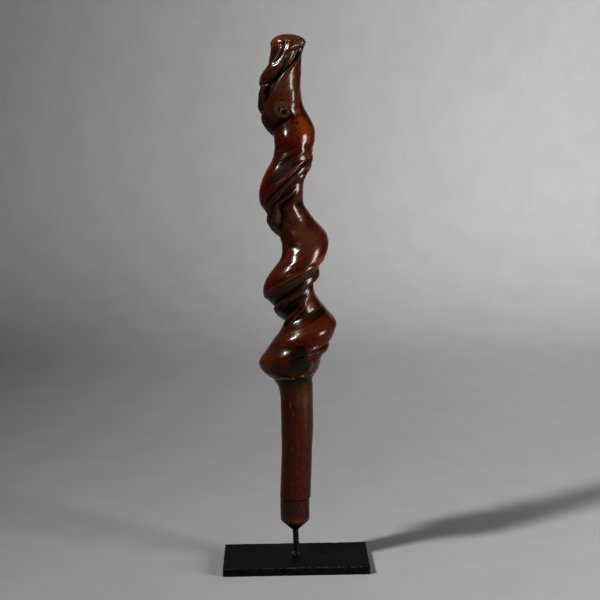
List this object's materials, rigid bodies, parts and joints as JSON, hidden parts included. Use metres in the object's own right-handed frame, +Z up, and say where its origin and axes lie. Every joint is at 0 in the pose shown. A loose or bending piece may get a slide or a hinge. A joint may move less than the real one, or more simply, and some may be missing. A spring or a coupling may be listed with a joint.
{
  "type": "carved staff",
  "caption": "Polished wooden staff head twisted like a vine-wound branch, on a straight grip, held upright by a thin rod in a flat rectangular plate.",
  "frame": {"origin": "centre of the base plate's underside, which is also the middle of the whole part's footprint", "axes": "+Z up along the staff, +X to the right along the plate's long side, -Y towards the front"},
  "size_m": [0.14, 0.07, 0.5056],
  "materials": {
    "staff_wood": "hand-polished reddish brown wood, dark in the recesses",
    "rod_paint": "satin black paint",
    "plate_paint": "matt black paint, worn along the front edge"
  },
  "bodies": {
    "root": {"staff": "staff_wood", "stand_rod": "rod_paint", "base_plate": "plate_paint"}
  },
  "joints": []
}
